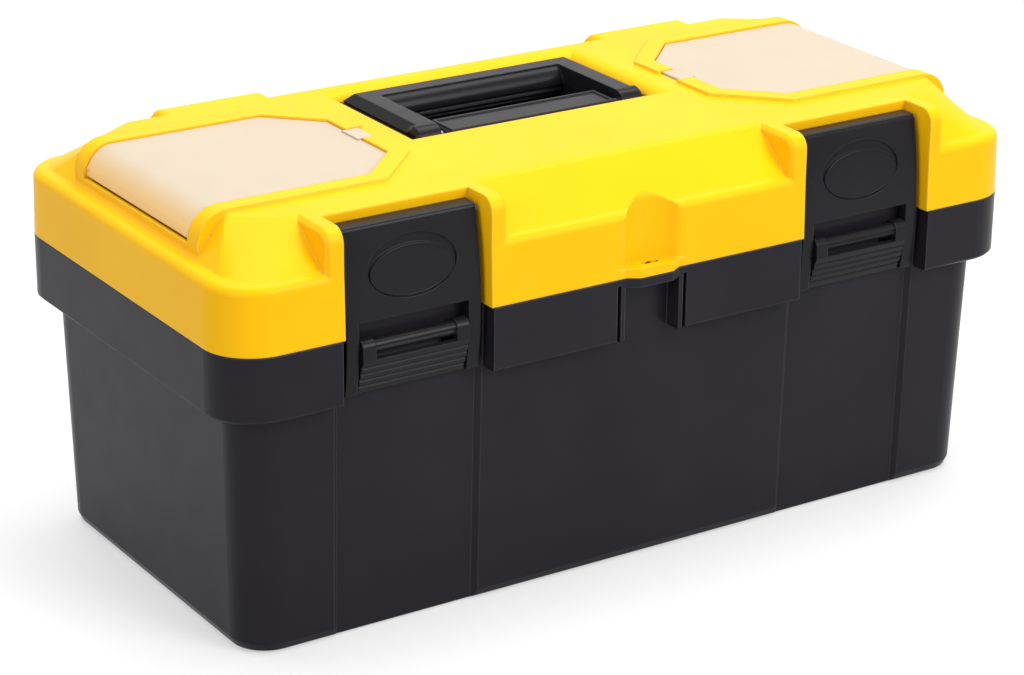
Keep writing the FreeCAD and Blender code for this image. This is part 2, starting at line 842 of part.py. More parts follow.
def nose_pocket(x0, x1, wall, edge_gap):
    """Pocket round one nose of the handle, held edge_gap clear of the recess's own walls."""
    reach = handle_nose + pocket_gap + wall
    form = block(x0 - wall, x1 + wall, -reach, reach, pivot_z - handle_nose - pocket_gap - wall,
                 handle_top + overrun)
    return form.common(recess_block(edge_gap, ledge_bottom - overrun, handle_top + overrun))


def insert_well(wall):
    """Finger well between strip and grip, grown by a wall where asked."""
    half = handle_width / 2 - handle_arm + grip_gap + wall
    y0 = strip_front + strip_depth - wall
    back = recess_back - insert_gap
    y1 = back + max(wall - insert_wall, 0) if wall > 0 else back - insert_back_wall
    return block(-half, half, y0, y1, insert_well_floor - wall, handle_top + overrun)


def latch_pin_span(side):
    """X range of a latch pin, which goes in from the right of each latch."""
    centre = side * latch_x
    left = centre - lid_notch_width / 2 - latch_pin_bite
    right = centre + lid_notch_width / 2 + wing_width
    return left, right


def make_lid():
    """The yellow lid, a thin moulding with every well, notch and housing as one shell."""
    band_top = ring(half_length - band_draft, band_front, rim_corner - band_draft, ridge_z)
    band = Part.makeLoft([ring(half_length, half_depth, rim_corner, lid_bottom), band_top], True, True)
    band = band.makeFillet(ridge_round, level_edges(band, ridge_z))
    middle = crown(0, 0)
    middle = middle.makeFillet(plateau_round, level_edges(middle, plateau_z))
    middle = middle.cut(recess_block(0, insert_bottom, frame_top + overrun))
    seat_edges = [e for e in level_edges(middle, plateau_z)
                  if abs(e.BoundBox.Center.x) < handle_width and e.BoundBox.YMin > -recess_front * 2
                  and e.BoundBox.YMax < recess_back + recess_front and e.Length < handle_width * 2]
    middle = middle.makeFillet(recess_round, seat_edges)
    parts = [middle] + both_sides(latch_housing()) + both_sides(hinge_housing())
    parts += both_sides(frame_block())
    parts.append(eye_flange(lid_bottom, lid_bottom + eye_lip))
    outside = band.fuse(parts)

    hollow = Part.makeLoft([
        ring(half_length - lid_wall, half_depth - lid_wall, rim_corner - lid_wall, z)
        for z in (rim_height - overrun, ridge_z - lid_wall)], True, True)
    hollow = hollow.fuse([crown_hollow()] + both_sides(hinge_housing_block(lid_wall)))
    solid_parts = both_sides(latch_notch(lid_wall))
    well = prism_z([(min(x, frame_end), y) for x, y in octagon_points(well_wall - seat_width)],
                   well_floor_z - well_wall, frame_top)
    seat = prism_z(octagon_points(frame_stand), cover_top - cover_lip * 2, frame_top)
    solid_parts += both_sides(well) + both_sides(seat)
    tab, tab_way_in = tab_pocket()
    tab_box = tab.BoundBox
    tab_seat = block(tab_box.XMin - lid_wall, tab_box.XMax, tab_box.YMin - lid_wall,
                     tab_box.YMax + lid_wall, tab_box.ZMin - lid_wall, frame_top)
    solid_parts += both_sides(tab_seat)
    solid_parts.append(recess_block(-lid_wall - insert_rest_gap * 3, ledge_bottom, frame_top))
    solid_parts.append(niche(lid_wall, rim_height - overrun, plateau_z))
    for x0, x1 in pocket_places():
        solid_parts.append(nose_pocket(x0, x1, insert_wall + lid_wall, -lid_wall))
    for solid in solid_parts:
        hollow = hollow.cut(solid)
    form = outside.cut(hollow)

    cutters = both_sides(latch_notch(0)) + both_sides(cover_recess()) + both_sides(well_hollow())
    cutters += both_sides(tab) + both_sides(tab_way_in)
    cutters.append(niche(0, lid_bottom + eye_lip, frame_top + overrun))
    cutters += both_sides(niche_mouth(lid_bottom + eye_lip, plateau_z)) + [niche_top()]
    cutters.append(eye_slot())
    cutters.append(recess_block(0, insert_bottom, frame_top + overrun))
    cutters.append(insert_well(insert_wall + insert_gap))
    for x0, x1 in pocket_places():
        cutters.append(nose_pocket(x0, x1, insert_wall + insert_gap / 2, 0))
    for x, y in screw_places():
        cutters.append(square(x, y, screw_boss_radius + insert_gap / 2, ledge_bottom - overrun, insert_top))
    bore = latch_pin_radius + pin_clearance
    for side in (-1, 1):
        left, right = latch_pin_span(side)
        cutters.append(rod_x(left - pin_clearance, right + overrun / 4, barrel_axis_y, barrel_axis_z, bore))
    stub_bore = rod_y(-cover_depth / 2 - stub_length - cover_gap * 2,
                      cover_depth / 2 + stub_length + cover_gap * 2,
                      stub_x, stub_z, stub_radius + pin_clearance)
    cutters += both_sides(stub_bore)
    for cutter in cutters:
        form = form.cut(cutter)

    additions = []
    for rib in well_dividers():
        additions += both_sides(rib)
    for x0, x1 in hinge_slices()[1::2]:
        additions += both_sides(lid_knuckle(x0, x1))
    form = form.fuse(additions)
    for cutter in both_sides(hinge_bore()):
        form = form.cut(cutter)
    return form.removeSplitter()


def make_cover():
    """Clear cover of the right-hand well, with its thumb tab, stiffening lip and hinge stubs."""
    plan = prism_z(octagon_points(0), cover_top - cover_drop, cover_top + overrun)
    outer = bent_profile(cover_end, cover_top, cover_bend, well_floor_z, cover_depth)
    under = cover_thickness
    inner = bent_profile(cover_end - under, cover_top - under, cover_bend - under, well_floor_z - overrun,
                         cover_depth + overrun)
    shell = plan.common(outer).cut(inner)
    lip_end = hinge_room_start
    lip_outer = [(min(x, lip_end), y) for x, y in octagon_points(-seat_width - cover_gap)]
    lip_inner = [(min(x, lip_end + overrun), y) for x, y in
                 octagon_points(-seat_width - cover_gap - cover_thickness)]
    lip_inner = [(x if x < lip_end - overrun else lip_end + overrun, y) for x, y in lip_inner]
    lip_bottom = cover_top - under - cover_lip
    lip = prism_z(lip_outer, lip_bottom, cover_top - under / 2)
    lip = lip.cut(prism_z(lip_inner, lip_bottom - overrun, cover_top + overrun))
    tab_top = cover_top + cover_gap * 2
    tab = block(cover_inner - tab_reach, cover_inner + cover_thickness,
                tab_offset - tab_width / 2, tab_offset + tab_width / 2, tab_top - tab_thickness, tab_top)
    tab = tab.makeFillet(tab_thickness / 3, [e for e in tab.Edges if e.BoundBox.XMax < cover_inner])
    form = shell.fuse([lip, tab])
    side = cover_depth / 2
    for sign in (-1, 1):
        lug = [sign * (side - cover_thickness), sign * side]
        stub = [sign * (side - cover_thickness), sign * (side + cover_gap + stub_length)]
        form = form.fuse(rod_y(min(lug), max(lug), stub_x, stub_z, lug_radius))
        form = form.fuse(rod_y(min(stub), max(stub), stub_x, stub_z, stub_radius))
    return form.common(block(0, cover_end, -half_depth, half_depth, cover_top - cover_drop,
                             tab_top)).removeSplitter()


def make_insert():
    """Black insert of the lid: handle seat, finger well, pivot pockets and plain front strip."""
    form = recess_block(insert_gap, insert_bottom, insert_top)
    ceiling = block(-half_length, half_length, -half_depth, half_depth, ledge_bottom - half_depth,
                    insert_top)
    additions = [insert_well(insert_wall).common(ceiling)]
    for x0, x1 in pocket_places():
        additions.append(nose_pocket(x0, x1, insert_wall, insert_gap).common(ceiling))
    for x, y in screw_places():
        additions.append(square(x, y, screw_boss_radius, ledge_bottom + insert_rest_gap, insert_top))
    rim_inner = handle_width / 2 + pocket_gap
    rim = block(rim_inner, recess_half_x - insert_gap, -recess_front + insert_gap,
                recess_back - insert_gap, insert_top - insert_plate / 2, plateau_z - insert_rim_drop)
    additions += both_sides(rim)
    half = strip_width / 2
    y0 = strip_front
    y1 = strip_front + strip_depth
    slope = strip_bevel
    outlines = ((0, strip_top - slope), (slope, strip_top))
    base = block(-half, half, y0, y1, insert_bottom, strip_top - slope)
    cap = Part.makeLoft([
        Part.makePolygon([Vec(-half + inset, y0 + inset, z), Vec(half - inset, y0 + inset, z),
                          Vec(half - inset, y1 - inset, z), Vec(-half + inset, y1 - inset, z),
                          Vec(-half + inset, y0 + inset, z)])
        for inset, z in outlines], True, True)
    rim = block(-half + slope, half - slope, y0 + slope, y1 - slope, strip_top,
                strip_top + strip_frame_rise)
    inner = slope + strip_frame
    rim = rim.cut(block(-half + inner, half - inner, y0 + inner, y1 - inner, strip_top,
                        strip_top + overrun))
    additions += [base, cap, rim]
    form = form.fuse(additions)
    cutters = [insert_well(0)]
    for x0, x1 in pocket_places():
        cutters.append(nose_pocket(x0, x1, 0, insert_gap))
    wall = insert_wall
    cutters.append(block(-half + wall, half - wall, y0 + wall, y1 - wall,
                         insert_bottom - overrun, strip_top - slope))
    for cutter in cutters:
        form = form.cut(cutter)
    bosses = []
    for sign in (-1, 1):
        span = [sign * (half - pivot_pin_grip), sign * half]
        bosses.append(rod_x(min(span), max(span), 0, pivot_z, pivot_pin_radius + wall))
    low = block(-half, half, y0, y1, insert_bottom, strip_top - slope / 2)
    form = form.fuse([boss.common(low) for boss in bosses])
    pin_bore = pivot_pin_radius + pin_clearance
    form = form.cut(rod_x(-half - overrun / 4, half + overrun / 4, 0, pivot_z, pin_bore))
    for x, y in screw_places():
        form = form.cut(rod_z(ledge_bottom - overrun, insert_top - insert_plate / 4, x, y, screw_radius))
    return form.removeSplitter()


def make_handle():
    """Folding bail handle: bevelled arms, round noses at the pivot and a fluted grip."""
    half = handle_width / 2
    bevel = handle_bevel
    y_back = handle_reach
    outer_low = [(-half, arm_bottom), (-half, handle_top - bevel), (-half + bevel, handle_top),
                 (half - bevel, handle_top), (half, handle_top - bevel), (half, arm_bottom)]
    corners = [Vec(x, -handle_nose, z) for x, z in outer_low]
    body = Part.Face(Part.makePolygon(corners + [corners[0]])).extrude(Vec(0, y_back + handle_nose, 0))
    side = prism_x([(-handle_nose, arm_bottom - handle_nose), (-handle_nose, handle_top),
                    (y_back - bevel, handle_top), (y_back, handle_top - bevel),
                    (y_back, arm_bottom - handle_nose)], -half, half)
    body = body.common(side)
    inner = half - handle_arm
    grip_front = y_back - grip_depth
    body = body.cut(block(-inner, inner, -handle_nose - overrun, grip_front,
                          arm_bottom - overrun, handle_top + overrun))
    body = body.cut(block(-half, half, -handle_nose - overrun, 0, arm_bottom - overrun,
                          handle_top + overrun))
    noses = []
    for x0, x1 in ((inner, half), (-half, -inner)):
        nose = rod_x(x0, x1, 0, pivot_z, handle_nose)
        cap = [e for e in nose.Edges
               if abs(abs(e.BoundBox.XMin) - half) < 1e-3 and e.BoundBox.XLength < 1e-3]
        noses.append(nose.makeChamfer(handle_nose / 4, cap))
    grip_y = recess_back - insert_gap - insert_back_wall - grip_gap - grip_radius
    grip_z = handle_top - grip_drop
    bar = rod_x(-inner, inner, grip_y, grip_z, grip_radius)
    step = 180.0 / (grip_flutes + 1)
    for place in range(grip_flutes):
        angle = math.radians(180.0 + step * (place + 1) - step / 2)
        y = grip_y + grip_radius * math.cos(angle)
        z = grip_z + grip_radius * math.sin(angle)
        bar = bar.cut(rod_x(-inner, inner, y, z, grip_flute_radius))
    body = body.fuse(noses + [bar])
    body = body.common(block(-half, half, -handle_nose, y_back, arm_bottom - overrun, handle_top))
    pin_bore = rod_x(-half + handle_bevel, half - handle_bevel, 0, pivot_z, pivot_pin_radius + pin_clearance)
    return body.cut(pin_bore).removeSplitter()


def front_arc_points():
    """Three points of the latch plate's crowned front, as (y, z)."""
    shoulder = (-half_depth + plate_shoulder_y, plate_top - plate_shoulder_round)
    middle = (-half_depth + plate_middle_y, window_top)
    bottom = (-half_depth + plate_bottom_y, plate_bottom_height)
    return shoulder, middle, bottom


def crown_arc(offset):
    """Centre and radius of the plate's front, in side view."""
    (y1, z1), (y2, z2), (y3, z3) = front_arc_points()
    d = 2 * (y1 * (z2 - z3) + y2 * (z3 - z1) + y3 * (z1 - z2))
    s1, s2, s3 = y1 * y1 + z1 * z1, y2 * y2 + z2 * z2, y3 * y3 + z3 * z3
    cy = (s1 * (z2 - z3) + s2 * (z3 - z1) + s3 * (z1 - z2)) / d
    cz = (s1 * (y3 - y2) + s2 * (y1 - y3) + s3 * (y2 - y1)) / d
    return cy, cz, math.hypot(y1 - cy, z1 - cz) - offset


def plate_body(offset, x0, x1, bottom):
    """Everything behind the plate's front surface moved in by offset, down to bottom."""
    cy, cz, radius = crown_arc(offset)
    drum = rod_x(x0, x1, cy, cz, radius)
    top = plate_top - offset
    slab = prism_x([(-half_depth - overrun, bottom), (-half_depth - overrun, top),
                    (barrel_axis_y, top), (barrel_axis_y, bottom)], x0, x1)
    return slab.common(drum)


def make_plate(x):
    """Latch plate: crowned front, barrel at the top, side flanges and a window for the lever."""
    x0 = x - plate_width / 2
    x1 = x + plate_width / 2
    outer = plate_body(0, x0, x1, plate_bottom_height)
    shoulder = [e for e in outer.Edges
                if e.BoundBox.XLength > plate_width / 2 and e.BoundBox.ZMin > plate_top - 1e-3
                and e.BoundBox.YMax < barrel_axis_y - 1e-3]
    outer = outer.makeFillet(plate_shoulder_round, shoulder)
    window_half = window_width / 2
    hollow = plate_body(plate_thickness, x0 + plate_flange, x1 - plate_flange, window_top)
    behind = block(x0, x1, barrel_axis_y - barrel_radius, barrel_axis_y + overrun,
                   plate_bottom_height - overrun, barrel_axis_z - barrel_radius)
    deep = block(x0, x1, -half_depth + plate_middle_y + plate_leg_depth, barrel_axis_y + overrun,
                 plate_bottom_height - overrun, barrel_axis_z - barrel_radius)
    form = outer.cut(hollow)
    form = form.cut(deep)
    form = form.cut(block(x - window_half, x + window_half, -half_depth - overrun,
                          barrel_axis_y + overrun, plate_bottom_height - overrun, window_top))
    heel = block(x0, x1, barrel_axis_y, barrel_axis_y + plate_heel, barrel_axis_z, plate_top)
    form = form.fuse([rod_x(x0, x1, barrel_axis_y, barrel_axis_z, barrel_radius), heel])
    form = form.cut(rod_x(x0 - 1, x1 + 1, barrel_axis_y, barrel_axis_z, latch_pin_radius + pin_clearance))
    centre_z = barrel_axis_z - ellipse_below_axis
    dish = ellipse_rod(x, centre_z, ellipse_width / 2, ellipse_height / 2)
    pad = ellipse_rod(x, centre_z - pad_drop, pad_width / 2, pad_height / 2)
    deeper = plate_body(ellipse_depth, x0 - 1, x1 + 1, plate_bottom_height)
    sunk = plate_body(0, x0, x1, window_top).cut(deeper)
    form = form.cut(sunk.common(dish.cut(pad)))
    for sign in (-1, 1):
        span = [x + sign * window_half, x + sign * (window_half + lever_stub_length)]
        form = form.cut(rod_x(min(span), max(span), lever_y, lever_z, lever_stub_radius + pin_clearance))
    return form.removeSplitter()


def ellipse_rod(x, z, half_width, half_height):
    """Rod along Y with an upright elliptical section."""
    y0 = -half_depth - overrun
    centre = Vec(x, y0, z)
    curve = Part.Ellipse(Vec(x + half_width, y0, z), Vec(x, y0, z + half_height), centre)
    face = Part.Face(Part.Wire(curve.toShape()))
    return face.extrude(Vec(0, 2 * overrun, 0))


def lever_profile():
    """Side view (y, z) of the lever's grip, from its neck to its tip."""
    neck = (lever_y - lever_neck_reach, lever_z - lever_neck_height)
    tip = (lever_y + lever_tip_reach, lever_z - lever_tip_height)
    run = tip[0] - neck[0]
    drop = tip[1] - neck[1]
    length = math.hypot(run, drop)
    across = (-drop / length * lever_thickness, run / length * lever_thickness)
    return neck, tip, (neck[0] + across[0], neck[1] + across[1]), (tip[0] + across[0], tip[1] + across[1])


def make_lever(x):
    """Latch lever: round bar between two ears, grooved grip, and a toe for the tub's catch."""
    half = window_width / 2 - lever_gap
    ear_inner = half - ear_width
    neck, tip, neck_back, tip_back = lever_profile()
    grip = prism_x([neck, tip, tip_back, neck_back], x - half, x + half)
    pieces = [grip]
    for sign in (-1, 1):
        span = sorted([x + sign * ear_inner, x + sign * half])
        pieces.append(rod_x(span[0], span[1], lever_y, lever_z, ear_radius))
        pieces.append(prism_x([(lever_y - ear_radius, lever_z), neck, neck_back,
                               (lever_y + ear_radius / 2, lever_z - ear_radius / 2),
                               (lever_y, lever_z)], span[0], span[1]))
        stub_end = window_width / 2 + lever_stub_length - pin_clearance
        stub = sorted([x + sign * ear_inner, x + sign * stub_end])
        pieces.append(rod_x(stub[0], stub[1], lever_y, lever_z, lever_stub_radius))
    bar = rod_x(x - ear_inner, x + ear_inner, lever_y, lever_z, lever_bar_radius)
    groove_y = lever_y - lever_bar_radius
    bar = bar.cut(rod_x(x - ear_inner, x + ear_inner, groove_y, lever_z, lever_bar_groove))
    pieces.append(bar)
    wall = tub_half(foot_depth, catch_bottom) - panel_depth
    toe_tip = -wall - catch_reach - toe_gap
    toe_top = catch_bottom - toe_drop
    part_way = (toe_top - neck[1]) / (tip[1] - neck[1])
    root = neck[0] + part_way * (tip[0] - neck[0])
    low_way = (toe_top - toe_height - neck[1]) / (tip[1] - neck[1])
    low_root = neck_back[0] + low_way * (tip[0] - neck[0])
    toe = prism_x([(root + lever_thickness / 2, toe_top), (toe_tip, toe_top), (toe_tip, toe_top - toe_gap),
                   (low_root - lever_thickness / 2, toe_top - toe_height)],
                  x - toe_width / 2, x + toe_width / 2)
    pieces.append(toe)
    form = pieces[0].fuse(pieces[1:])
    for place in range(lever_grooves):
        share = (place + 1) / (lever_grooves + 1)
        y = neck[0] + share * (tip[0] - neck[0])
        z = neck[1] + share * (tip[1] - neck[1])
        form = form.cut(rod_x(x - half, x + half, y, z, lever_groove_radius))
    return form.removeSplitter()


def make_screws():
    """Hexagon-headed self-tapping screws that clamp the insert to the lid from below."""
    solids = []
    for x, y in screw_places():
        corners = []
        for turn in range(0, 360, 60):
            angle = math.radians(turn)
            corners.append((x + screw_head_radius * math.cos(angle),
                            y + screw_head_radius * math.sin(angle)))
        head = prism_z(corners, ledge_bottom - screw_head_height, ledge_bottom)
        shank = rod_z(ledge_bottom - screw_head_height / 2, insert_top - insert_plate / 2, x, y,
                      screw_radius - pin_clearance)
        solids.append(head.fuse(shank).removeSplitter())
    return Part.makeCompound(solids)


def make_tray():
    """Lift-out tray: drafted walls, rolled rim, raised middle bridge with a grip, divider slots."""
    def level(inset, z):
        return ring(tray_length / 2 - inset, tray_depth / 2 - inset, tray_corner, z)

    outer = Part.makeLoft([level(tray_draft_inset, tray_bottom), level(0, tray_top)], True, True)
    rim = Part.makeLoft([level(-tray_rim, tray_top - tray_wall), level(-tray_rim, tray_top)], True, True)
    inner = Part.makeLoft([level(tray_draft_inset + tray_wall, tray_bottom + tray_wall),
                           level(tray_wall - tray_draft_inset / tray_height, tray_top + 1)], True, True)
    form = outer.fuse(rim)
    half_bridge = tray_bridge_depth / 2
    ridge_keep = block(-tray_length, tray_length, -half_bridge, half_bridge, tray_bottom, tray_top)
    inner = inner.cut(ridge_keep)
    form = form.cut(inner)
    wall = tray_bridge_wall
    under = block(-tray_length / 2 + tray_draft_inset + tray_wall * 2,
                  tray_length / 2 - tray_draft_inset - tray_wall * 2,
                  -half_bridge + wall, half_bridge - wall, tray_bottom - 1, tray_top - wall)
    form = form.cut(under)
    half_grip = tray_grip_length / 2
    drop = tray_height - tray_grip_height
    for y0 in (-half_bridge - 1, half_bridge - wall - 1):
        form = form.cut(block(-half_grip, half_grip, y0, y0 + wall + 2, tray_bottom + tray_wall * 2,
                              tray_bottom + drop))
    ribs = []
    for x in (-tray_slot_pitch, tray_slot_pitch):
        for y in (half_bridge, tray_depth / 2 - tray_wall):
            for sign in (-1, 1):
                edge = x + sign * (tray_divider_thickness / 2 + tray_divider_gap + tray_slot_rib / 2)
                depth = tray_slot_rib * 2
                y0 = y if y < tray_depth / 3 else y - depth
                ribs.append(block(edge - tray_slot_rib / 2, edge + tray_slot_rib / 2,
                                  y0 - tray_wall / 2, y0 + depth, tray_bottom + tray_wall / 2,
                                  tray_top - tray_divider_drop))
    shell_space = Part.makeLoft([level(tray_draft_inset, tray_bottom), level(0, tray_top)], True, True)
    form = form.fuse([rib.common(shell_space) for rib in ribs])
    return form.removeSplitter()


def make_tray_divider(x):
    """Slide-in divider for the tray's rear half."""
    y0 = tray_bridge_depth / 2 + tray_divider_gap
    top_y = tray_depth / 2 - tray_wall - tray_divider_gap
    low_y = top_y - tray_draft_inset
    z0 = tray_bottom + tray_wall + tray_divider_gap
    z1 = tray_top - tray_divider_drop
    half = tray_divider_thickness / 2
    return prism_x([(y0, z0), (low_y, z0), (top_y - tray_divider_gap, z1), (y0, z1)], x - half, x + half)


def build():
    """Every piece by its node's name."""
    lid_pin = rod_x(latch_x - hinge_length / 2, latch_x + hinge_length / 2, hinge_y, rim_height,
                    hinge_pin_radius)
    grip = strip_width / 2 - pivot_pin_grip
    pivot_pin = rod_x(grip, handle_width / 2 - handle_bevel - insert_rest_gap, 0, pivot_z, pivot_pin_radius)
    cover = make_cover()
    pieces = {
        "tub": make_tub(),
        "lid": make_lid(),
        "handle": make_handle(),
        "handle_well": make_insert(),
        "well_screws": make_screws(),
        "handle_pivot_pin_left": mirrored(pivot_pin),
        "handle_pivot_pin_right": pivot_pin,
        "organizer_cover_left": mirrored(cover),
        "organizer_cover_right": cover,
        "lid_hinge_pin_left": mirrored(lid_pin),
        "lid_hinge_pin_right": lid_pin,
        "tool_tray": make_tray(),
        "tray_divider_left": make_tray_divider(-tray_slot_pitch),
        "tray_divider_right": make_tray_divider(tray_slot_pitch),
    }
    for side, name in ((-1, "left"), (1, "right")):
        left, right = latch_pin_span(side)
        pieces["latch_plate_" + name] = make_plate(side * latch_x)
        pieces["latch_lever_" + name] = make_lever(side * latch_x)
        pieces["latch_hinge_pin_" + name] = rod_x(left, right, barrel_axis_y, barrel_axis_z,
                                                  latch_pin_radius)
    return pieces


os.makedirs("parts", exist_ok=True)
for name, shape in build().items():
    shape.exportStep("parts/" + name + ".step")
    print(name, shape.isValid(), len(shape.Solids), round(shape.Volume), len(shape.Faces))
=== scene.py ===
import math

import bmesh
import bpy
from mathutils import Matrix, Vector


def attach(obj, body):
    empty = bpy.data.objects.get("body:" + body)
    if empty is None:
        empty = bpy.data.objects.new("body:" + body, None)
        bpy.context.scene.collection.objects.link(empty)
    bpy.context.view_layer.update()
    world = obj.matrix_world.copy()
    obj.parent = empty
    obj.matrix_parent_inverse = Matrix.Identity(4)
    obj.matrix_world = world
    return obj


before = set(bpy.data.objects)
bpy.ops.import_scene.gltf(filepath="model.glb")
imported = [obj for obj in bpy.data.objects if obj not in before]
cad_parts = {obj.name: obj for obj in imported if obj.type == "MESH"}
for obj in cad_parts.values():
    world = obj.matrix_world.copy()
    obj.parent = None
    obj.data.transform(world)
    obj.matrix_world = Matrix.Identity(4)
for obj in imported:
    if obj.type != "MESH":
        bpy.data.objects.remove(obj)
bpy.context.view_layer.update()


# Tub: the deep black bin with its turned-down rim, catches, ledges and half of each rear hinge.
# Injection-moulded polypropylene, drafted so that it leaves the mould, with a fine satin texture
# etched into the steel. Everything else on the box hangs from it.

millimetre = 0.001
polypropylene_index = 1.49
bevel_samples = 6


def srgb(code):
    """Linear colour of an sRGB hex code."""
    channels = [int(code[place:place + 2], 16) / 255 for place in (1, 3, 5)]
    linear = [c / 12.92 if c <= 0.04045 else ((c + 0.055) / 1.055) ** 2.4 for c in channels]
    return (*linear, 1.0)


def add(tree, kind, settings):
    """Adds one node. A setting names a property or a socket; an output given for a socket is
    linked."""
    node = tree.nodes.new(kind)
    for name, value in settings.items():
        socket = next((s for s in node.inputs if name in (s.identifier, s.name)), None)
        if socket is None:
            setattr(node, name, value)
        elif isinstance(value, bpy.types.NodeSocket):
            tree.links.new(value, socket)
        else:
            socket.default_value = value
    return node


def start_material(name):
    """A new material, with its node tree and its main shader."""
    material = bpy.data.materials.new(name)
    material.use_nodes = True
    return material, material.node_tree, material.node_tree.nodes["Principled BSDF"]


def object_place(tree):
    """The shaded point in the object's own coordinates."""
    return add(tree, "ShaderNodeTexCoord", {}).outputs["Object"]


def noise(tree, place, pitch, detail):
    """Noise whose blotches are about a pitch apart."""
    return add(tree, "ShaderNodeTexNoise", {"Vector": place, "Scale": 1 / pitch, "Detail": detail})


def dress(material, *nodes):
    """Puts a finish on CAD nodes."""
    for name in nodes:
        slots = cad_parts[name].data.materials
        slots.clear()
        slots.append(material)


def moulded_polypropylene(name, body, pale, rubbed_and_highlight, gloss, roughness, grain, grain_height,
                          edge_round):
    """Moulded polypropylene: flow shading in the colour, a fine etched grain, and edges that the
    tool leaves slightly round, paler in spots: partly handling wear, partly a painted highlight."""
    material, tree, shader = start_material(name)
    shader.inputs["IOR"].default_value = polypropylene_index
    shader.inputs["Specular IOR Level"].default_value = gloss
    place = object_place(tree)

    flow = noise(tree, place, 70 * millimetre, 3.0)
    spread = add(tree, "ShaderNodeMapRange", {
        "Value": flow.outputs["Fac"], "From Min": 0.35, "From Max": 0.65})
    colour = add(tree, "ShaderNodeMix", {
        "data_type": "RGBA", "Factor": spread.outputs["Result"],
        "A_Color": srgb(body), "B_Color": srgb(pale)})

    # The rounded and the flat normal part only along an edge, which is how the paler edges are
    # found: partly handling wear, partly a painted highlight.
    rounded = add(tree, "ShaderNodeBevel", {
        "samples": bevel_samples, "Radius": edge_round}).outputs["Normal"]
    flat = add(tree, "ShaderNodeNewGeometry", {}).outputs["Normal"]
    turned = add(tree, "ShaderNodeVectorMath", {
        "operation": "DOT_PRODUCT", "Vector": rounded, "Vector_001": flat})
    edge = add(tree, "ShaderNodeMapRange", {
        "Value": turned.outputs["Value"], "From Min": 0.995, "From Max": 0.86})
    rub_and_highlight_spots = noise(tree, place, 9 * millimetre, 4.0)
    rub_and_highlight = add(tree, "ShaderNodeMath", {
        "operation": "MULTIPLY", "Value": edge.outputs["Result"],
        "Value_001": rub_and_highlight_spots.outputs["Fac"]})
    # The edges are mixed towards the paler colour: partly handling wear, partly a painted
    # highlight.
    worn_and_highlit = add(tree, "ShaderNodeMix", {
        "data_type": "RGBA", "Factor": rub_and_highlight.outputs["Value"],
        "A_Color": colour.outputs[2], "B_Color": srgb(rubbed_and_highlight)})
    tree.links.new(worn_and_highlit.outputs[2], shader.inputs["Base Color"])

    patch = noise(tree, place, 14 * millimetre, 5.0)
    sheen = add(tree, "ShaderNodeMapRange", {
        "Value": patch.outputs["Fac"], "From Min": 0.3, "From Max": 0.7,
        "To Min": roughness - 0.03, "To Max": roughness + 0.04})
    tree.links.new(sheen.outputs["Result"], shader.inputs["Roughness"])

    # The grain is drawn coarser than an etched one, so that it shows.
    etched = noise(tree, place, grain, 2.0)
    sink = noise(tree, place, 45 * millimetre, 1.0)
    waves = add(tree, "ShaderNodeBump", {
        "Height": sink.outputs["Fac"], "Normal": rounded,
        "Strength": 0.5, "Distance": 0.12 * millimetre})
    skin = add(tree, "ShaderNodeBump", {
        "Height": etched.outputs["Fac"], "Normal": waves.outputs["Normal"],
        "Strength": 0.5, "Distance": grain_height})
    tree.links.new(skin.outputs["Normal"], shader.inputs["Normal"])
    return material


black_polypropylene = moulded_polypropylene(
    "black_polypropylene_moulded", body="#1f1d23", pale="#232127", rubbed_and_highlight="#56535e",
    gloss=0.1, roughness=0.32, grain=0.7 * millimetre, grain_height=0.02 * millimetre,
    edge_round=1.0 * millimetre)
dress(black_polypropylene, "tub")


# Lid: one thin yellow moulding with its wells, latch notches, hinge blocks and padlock niche.
# The same polypropylene in a warm yellow, smoother than the tub, so its rolled edges catch the
# light.

lid_edge_round = 1.6 * millimetre
slot_middle = (0.0, -101.8 * millimetre, 145.5 * millimetre)
slot_reach = (5.2 * millimetre, 1.45 * millimetre, 12 * millimetre)
slot_edge_round = 0.15 * millimetre
sharp_within = 8 * millimetre
round_beyond = 18 * millimetre

yellow_polypropylene = moulded_polypropylene(
    "yellow_polypropylene_moulded", body="#f1b60a", pale="#f4bb0e", rubbed_and_highlight="#fbd650",
    gloss=0.08, roughness=0.32, grain=0.8 * millimetre, grain_height=0.015 * millimetre,
    edge_round=lid_edge_round)
dress(yellow_polypropylene, "lid")


